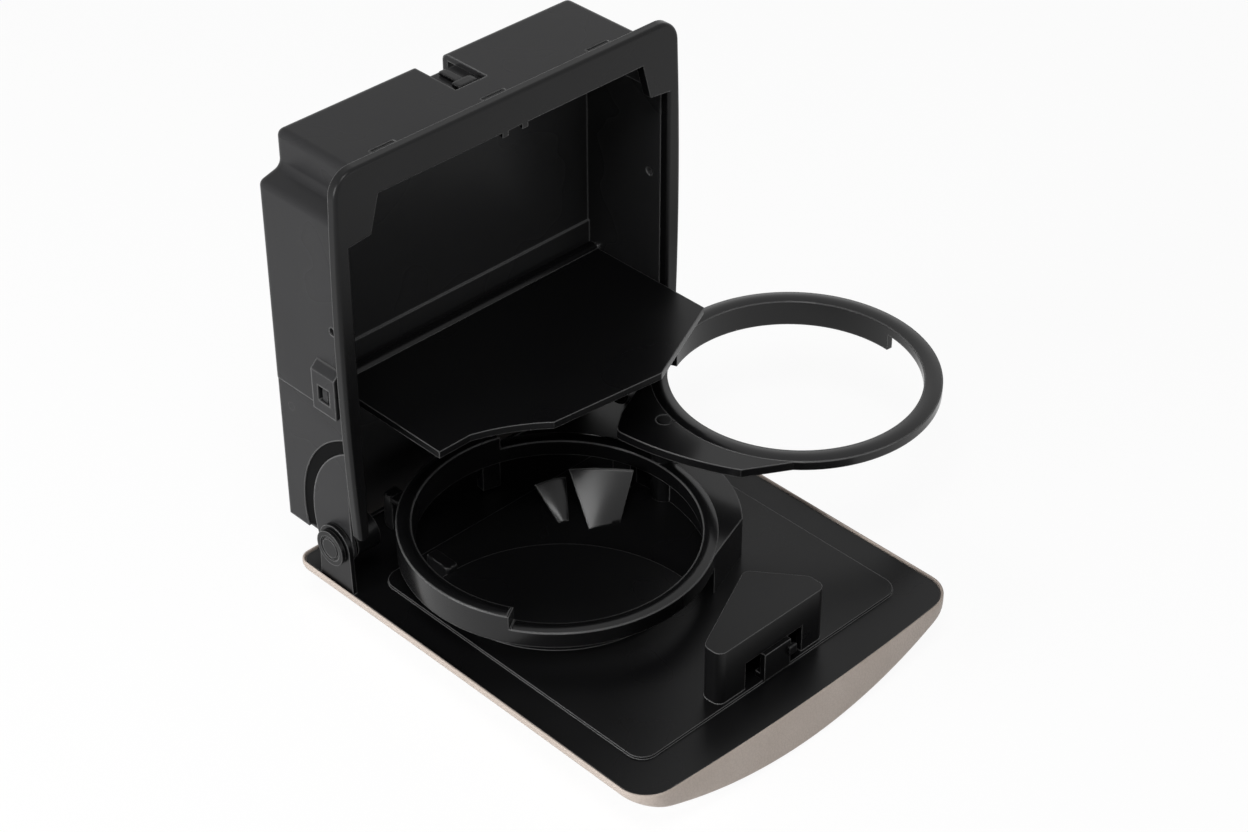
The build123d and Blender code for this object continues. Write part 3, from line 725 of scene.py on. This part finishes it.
@dataclass
class LidSkin:
    """The soft crowned outer skin of the lid."""

    half_width: float = 61.0
    front: float = -116.0
    back: float = 26.5
    bow: float = 2.4
    front_corner: float = 9.0
    back_corner: float = 4.0
    rim: float = -70.0
    edge: float = 3.6
    crown: float = 16.0
    seat: float = 2.25
    lip: float = 0.78
    lip_rise: float = 0.35
    roll: float = 2.6
    least_side: float = 0.6
    turn_steps: int = 7
    under_start: float = 0.06
    under_steps: int = 26

    def depth(self, x: np.ndarray) -> np.ndarray:
        """Depth of the crowned underside: a circle through the middle's and the edges' depths.

        Args:
            x: Distance across from the middle, in millimetres.

        Returns:
            Depth below the rim at each x.
        """
        rise = self.crown - self.edge
        radius = (self.half_width**2 + rise**2) / (2 * rise)
        return self.crown - radius + np.sqrt(radius**2 - x**2)

    def build(self, palette: Palette) -> None:
        """Make the skin in place of the plain cover.

        Rows run from the seat's middle out over the lip, down the rolled edge and in under the crown.

        Args:
            palette: The finishes.
        """
        plan = rounded_plan(
            self.half_width, self.back, self.front, self.bow, self.back_corner, self.front_corner
        )
        middle = np.array([0.0, (self.front + self.back) / 2])
        spread = plan - middle
        reach = np.linalg.norm(spread, axis=1)
        lip_foot = self.rim - self.lip_rise
        inset = [reach, np.full_like(reach, self.lip), np.full_like(reach, self.lip)]
        level = [np.full_like(reach, self.rim - self.seat)] * 2 + [np.full_like(reach, lip_foot)]
        for step in np.linspace(0, math.pi, self.turn_steps):
            inset.append(np.full_like(reach, self.lip / 2 * (1 + math.cos(step))))
            level.append(np.full_like(reach, lip_foot + self.lip_rise * math.sin(step)))
        under = self.depth(plan[:, 0])
        rolled = np.minimum(self.roll, under - self.least_side)
        for step in np.linspace(0, math.pi / 2, self.turn_steps):
            inset.append(np.full_like(reach, self.roll * (1 - math.cos(step))))
            level.append(self.rim - under + rolled * (1 - math.sin(step)))
        for share in np.linspace(self.under_start, 1.0, self.under_steps):
            inset.append(self.roll + (reach - self.roll) * share)
            x = spread[:, 0] * (1 - inset[-1] / reach)
            level.append(self.rim - self.depth(x))
        drawn = np.stack(inset)[..., None]
        grid = middle + spread[None] * (1 - drawn / reach[None, :, None])
        points = np.concatenate([grid, np.stack(level)[..., None]], axis=2)
        skin = mesh_from_grid("lid_skin", points * MM, Wrap.ROUND)
        palette.dress(skin, Slot.SKIN, Body.LID)
        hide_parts("lid_cover")


@dataclass
class LidFace:
    """Small mouldings on the lid's black inner face."""

    field_top: float = -69.8
    wide_ramp_top: float = -58.0
    slim_ramp_top: float = -61.7
    ramp_thick: float = 0.8
    ramp_round: float = 0.5
    ramp_steps: int = 13
    wide_ramp: tuple[tuple[float, float], ...] = ((6.6, -22.6), (14.9, -26.8), (24.4, -22.7), (11.4, -9.3))
    slim_ramp: tuple[tuple[float, float], ...] = ((2.3, -14.6), (5.0, -15.9), (11.5, -7.9), (2.5, -4.4))
    blocks: tuple[Block, ...] = (
        Block("guide_post", (-34.0, 16.0, -70.6), (-29.0, 20.0, -58.0)),
        Block("guide_arm", (-34.0, 12.5, -60.0), (-29.0, 16.4, -58.0)),
        Block("panel_back_strip", (-50.0, 25.0, -70.4), (50.0, 26.45, -69.6)),
        Block("cup_stop", (-38.2, -12.6, -70.2), (-34.2, -3.0, -65.0)),
        Block("striker_knob", (3.5, -103.6, -65.5), (6.5, -102.3, -62.5)),
    )

    def ramp(self, name: str, plan: Sequence[Sequence[float]], top_level: float) -> bpy.types.Object:
        """A thin sloped plate that climbs away from the cup, crowned a little across its width.

        The top is the bilinear blend of four plan corners, its height rising evenly from front to back.

        Args:
            name: The plate's name.
            plan: Front left, front right, back right and back left corners in millimetres.
            top_level: Height of the back edge in millimetres.

        Returns:
            The plate as a closed mesh object.
        """
        front_left, front_right, back_right, back_left = np.asarray(plan, float)
        climb = np.linspace(0, 1, self.ramp_steps)[:, None, None]
        across = np.linspace(0, 1, self.ramp_steps)[None, :, None]
        near = front_left * (1 - across) + front_right * across
        far = back_left * (1 - across) + back_right * across
        flat = near * (1 - climb) + far * climb
        crown = self.ramp_round * np.sin(math.pi * across)
        level = self.field_top + (top_level - self.field_top) * climb + crown
        top = np.concatenate([flat, level], axis=2)
        under = top[:, ::-1] - np.array([0.0, 0.0, self.ramp_thick])
        return mesh_from_grid(name, np.concatenate([top, under], axis=1) * MM, Wrap.ROUND, caps=True)

    def build(self, palette: Palette) -> None:
        """Make the cup's sloped plates and the small blocks.

        Args:
            palette: The finishes.
        """
        wide = self.ramp("cup_ramp_wide", self.wide_ramp, self.wide_ramp_top)
        palette.dress(wide, Slot.RING, Body.LID)
        slim = self.ramp("cup_ramp_slim", self.slim_ramp, self.slim_ramp_top)
        palette.dress(slim, Slot.RING, Body.LID)
        for block in self.blocks:
            block.build(palette, Slot.SATIN, Body.LID)


@dataclass
class RingTrim:
    """Rounded top beads on the two rings."""

    fixed_centre: tuple[float, float] = (-11.2, -28.7)
    fixed_inner: float = 40.7
    fixed_outer: float = 44.8
    high_level: float = -52.0
    high_arc: tuple[float, float] = (71.6, 209.4)
    low_level: float = -56.2
    low_arc: tuple[float, float] = (210.6, 430.4)
    swing_centre: tuple[float, float] = (77.0, -36.5)
    swing_inner: float = 37.7
    swing_outer: float = 42.8
    swing_level: float = -43.0
    swing_steps: int = 160
    rise: float = 0.5
    sink: float = 0.3
    crown_points: int = 9

    def bead(self, inner: float, outer: float, level: float) -> np.ndarray:
        """A low crowned bead: height follows half a sine across its width.

        Args:
            inner: Inner radius in millimetres.
            outer: Outer radius in millimetres.
            level: Height of the ring's top.

        Returns:
            Profile points (radius, height).
        """
        share = np.linspace(0, 1, self.crown_points)
        height = level + self.rise * np.sin(math.pi * share)
        crown = np.stack([inner + (outer - inner) * share, height], axis=-1)
        foot = np.array([(outer, level - self.sink), (inner, level - self.sink)])
        return np.concatenate([crown, foot])

    def build(self, palette: Palette) -> None:
        """Make the beads.

        Args:
            palette: The finishes.
        """
        fixed = (
            ("fixed_ring_high_bead", self.high_level, self.high_arc),
            ("fixed_ring_low_bead", self.low_level, self.low_arc),
        )
        for name, level, (start, end) in fixed:
            profile = self.bead(self.fixed_inner, self.fixed_outer, level)
            palette.dress(turned_wall(name, self.fixed_centre, profile, start, end), Slot.RING, Body.LID)
        profile = self.bead(self.swing_inner, self.swing_outer, self.swing_level)
        swing = turned_wall(
            "swing_ring_bead", self.swing_centre, profile, 0.0, FULL_TURN, self.swing_steps
        )
        palette.dress(swing, Slot.RING, Body.RING)


@dataclass
class HousingTrim:
    """Small mouldings on the housing: hinge barrels, clip tongues and the notch's hook, and near-black
    sheets of painted shade in the side grooves.
    """

    hinge: tuple[float, float] = (9.5, -57.0)
    barrel_inner: float = 4.85
    barrel_outer: float = 5.7
    barrel_start: float = 48.2
    barrel_end: float = 56.2
    groove: tuple[float, float] = (-10.0, -50.0)
    groove_inner: float = 30.1
    groove_outer: float = 33.9
    groove_arc: tuple[float, float] = (-13.0, 64.0)
    groove_floor: float = 57.45
    groove_face: float = 57.9
    tongue_near: float = 59.1
    tongue_far: float = 60.9
    tongue_low: tuple[float, float] = (6.2, -6.6)
    tongue_high: tuple[float, float] = (8.4, -2.4)
    tongue_edge: float = 0.4
    notch: tuple[Block, ...] = (
        Block("notch_hook", (-3.4, 15.0, 61.6), (3.4, 18.5, 63.1)),
        Block("notch_stem", (-1.4, 18.0, 61.6), (1.4, 26.0, 62.7), 0.4),
    )

    @staticmethod
    def band(inner: float, outer: float, near: float, far: float) -> np.ndarray:
        """A plain four-cornered profile.

        Args:
            inner: Inner radius in millimetres.
            outer: Outer radius in millimetres.
            near: One end's place along the axis.
            far: The other end's place along the axis.

        Returns:
            Profile points (radius, place along the axis).
        """
        low, high = sorted((near, far))
        return np.array([(inner, low), (outer, low), (outer, high), (inner, high)])

    def build_side(self, palette: Palette, side: int, name: str) -> None:
        """Make one side's hinge barrel, groove sheet of painted shade and clip tongue.

        Args:
            palette: The finishes.
            side: -1 for the left side, 1 for the right.
            name: The side's name.
        """
        profile = self.band(
            self.barrel_inner, self.barrel_outer, side * self.barrel_start, side * self.barrel_end
        )
        barrel = turned_wall(
            f"hinge_barrel_{name}", self.hinge, profile, 0.0, FULL_TURN, turn=Turn.ACROSS
        )
        palette.dress(barrel, Slot.SATIN, Body.HOUSING)
        profile = self.band(
            self.groove_inner, self.groove_outer, side * self.groove_floor, side * self.groove_face
        )
        # Painted shade: this sheet darkens the shallow groove as if it were a deep slot in shadow.
        groove_shade = turned_wall(
            f"painted_groove_shade_{name}", self.groove, profile, *self.groove_arc, turn=Turn.ACROSS
        )
        palette.dress(groove_shade, Slot.SHELL, Body.HOUSING, dark=True)
        low, high = sorted((side * self.tongue_near, side * self.tongue_far))
        tongue = Block(
            f"clip_tongue_{name}", (low, *self.tongue_low), (high, *self.tongue_high), self.tongue_edge
        )
        tongue.build(palette, Slot.SHELL, Body.HOUSING)

    def build(self, palette: Palette) -> None:
        """Make both sides' pieces and the hook that shows in the top notch.

        Args:
            palette: The finishes.
        """
        for side, name in ((-1, "left"), (1, "right")):
            self.build_side(palette, side, name)
        for block in self.notch:
            block.build(palette, Slot.SATIN, Body.HOUSING)


# Stage


@dataclass(frozen=True)
class Softbox:
    """One square soft lamp, in millimetres and watts."""

    name: str
    place: tuple[float, float, float]
    aim: tuple[float, float, float]
    side: float
    power: float

    def build(self) -> None:
        """Hang the lamp."""
        data = bpy.data.lights.new(self.name, "AREA")
        data.size = self.side * MM
        data.energy = self.power
        lamp = bpy.data.objects.new(self.name, data)
        bpy.context.scene.collection.objects.link(lamp)
        lamp.location = Vector(self.place) * MM
        lamp.rotation_euler = (Vector(self.aim) - Vector(self.place)).to_track_quat("-Z", "Y").to_euler()
        LOG.info("%s hangs", self.name)


@dataclass
class Studio:
    """The pale floor, soft lamps and camera."""

    azimuth: float = -44.3
    elevation: float = 36.2
    target: tuple[float, float, float] = (42.6, 0.0, -60.0)
    distance: float = 809.6
    focal_px: float = 2730.0
    photo_width: int = 1248
    sensor: float = 36.0
    clip_start: float = 0.01
    clip_end: float = 20.0
    world_dim: float = 0.06
    floor: float = -86.3
    floor_half: float = 4000.0
    floor_grey: float = 0.9
    floor_roughness: float = 0.9
    glow: float = 1.04
    glow_share: float = 0.9
    softboxes: tuple[Softbox, ...] = (
        Softbox("left_softbox", (-900, 160, 180), (-20, 0, -20), 460, 6.6),
        Softbox("top_softbox", (-330, -340, 800), (10, -30, -60), 340, 3.2),
        Softbox("front_fill", (260, -900, 40), (20, -60, -60), 420, 0.9),
    )

    def back(self) -> Vector:
        """Find the way to the camera.

        Returns:
            The direction from the object to the camera.
        """
        a, e = math.radians(self.azimuth), math.radians(self.elevation)
        return Vector((math.sin(a) * math.cos(e), -math.cos(a) * math.cos(e), math.sin(e)))

    def build(self) -> None:
        """Make the floor, the lamps, the world and the camera."""
        scene = bpy.context.scene
        scene.view_settings.view_transform = "Standard"
        self.make_world(scene)
        self.make_floor()
        for softbox in self.softboxes:
            softbox.build()
        camera = bpy.data.cameras.new("camera")
        camera.sensor_width = self.sensor
        camera.lens = self.focal_px * self.sensor / self.photo_width
        camera.clip_start = self.clip_start
        camera.clip_end = self.clip_end
        holder = bpy.data.objects.new("camera", camera)
        scene.collection.objects.link(holder)
        holder.location = Vector(self.target) * MM + self.back() * self.distance * MM
        holder.rotation_euler = (-self.back()).to_track_quat("-Z", "Y").to_euler()
        scene.camera = holder

    @staticmethod
    def seen(nodes: bpy.types.Nodes, links: bpy.types.NodeLinks) -> bpy.types.NodeSocket:
        """A mask that is 1 for rays from the camera and for mirrored and refracted ones.

        Args:
            nodes: The tree's nodes.
            links: The tree's links.

        Returns:
            The mask's socket.
        """
        path = nodes.new("ShaderNodeLightPath")
        mask = path.outputs["Is Camera Ray"]
        for name in ("Is Glossy Ray", "Is Transmission Ray"):
            either = nodes.new("ShaderNodeMath")
            either.operation = "MAXIMUM"
            links.new(mask, either.inputs[0])
            links.new(path.outputs[name], either.inputs[1])
            mask = either.outputs["Value"]
        return mask

    def make_world(self, scene: bpy.types.Scene) -> None:
        """Make a dim even world that the camera sees as white.

        Args:
            scene: The scene that gets it.
        """
        world = bpy.data.worlds.new("studio")
        world.use_nodes = True
        nodes, links = world.node_tree.nodes, world.node_tree.links
        ground = nodes["Background"]
        ground.inputs["Color"].default_value = WHITE
        strength = nodes.new("ShaderNodeMapRange")
        strength.inputs["To Min"].default_value = self.world_dim
        strength.inputs["To Max"].default_value = 1.0
        links.new(self.seen(nodes, links), strength.inputs["Value"])
        links.new(strength.outputs["Result"], ground.inputs["Strength"])
        scene.world = world

    def make_floor(self) -> None:
        """Make the pale floor under the lid's crown, white to the camera where no shadow falls."""
        side = np.linspace(-self.floor_half, self.floor_half, 3)
        x, y = np.meshgrid(side, side, indexing="ij")
        grid = np.stack([x, y, np.full_like(x, self.floor)], axis=-1) * MM
        floor = mesh_from_grid("floor", grid, Wrap.OPEN)
        material = bpy.data.materials.new("pale_floor")
        material.use_nodes = True
        nodes, links = material.node_tree.nodes, material.node_tree.links
        surface = nodes["Principled BSDF"]
        surface.inputs["Base Color"].default_value = (*[self.floor_grey] * 3, 1.0)
        surface.inputs["Roughness"].default_value = self.floor_roughness
        glow = nodes.new("ShaderNodeEmission")
        glow.inputs["Color"].default_value = WHITE
        glow.inputs["Strength"].default_value = self.glow
        mix = nodes.new("ShaderNodeMixShader")
        share = nodes.new("ShaderNodeMapRange")
        share.inputs["To Max"].default_value = self.glow_share
        links.new(self.seen(nodes, links), share.inputs["Value"])
        links.new(share.outputs["Result"], mix.inputs["Fac"])
        links.new(surface.outputs["BSDF"], mix.inputs[1])
        links.new(glow.outputs["Emission"], mix.inputs[2])
        links.new(mix.outputs["Shader"], nodes["Material Output"].inputs["Surface"])
        floor.data.materials.append(material)


def main() -> None:
    """Build the object's dress and its stage in order."""
    logging.basicConfig(level=logging.INFO)
    palette = Palette()
    palette.build()
    palette.dress_frame()
    for part in (LidSkin(), LidFace(), RingTrim(), HousingTrim()):
        part.build(palette)
        LOG.info("%s is dressed", type(part).__name__)
    Studio().build()


if __name__ == "__main__":
    main()
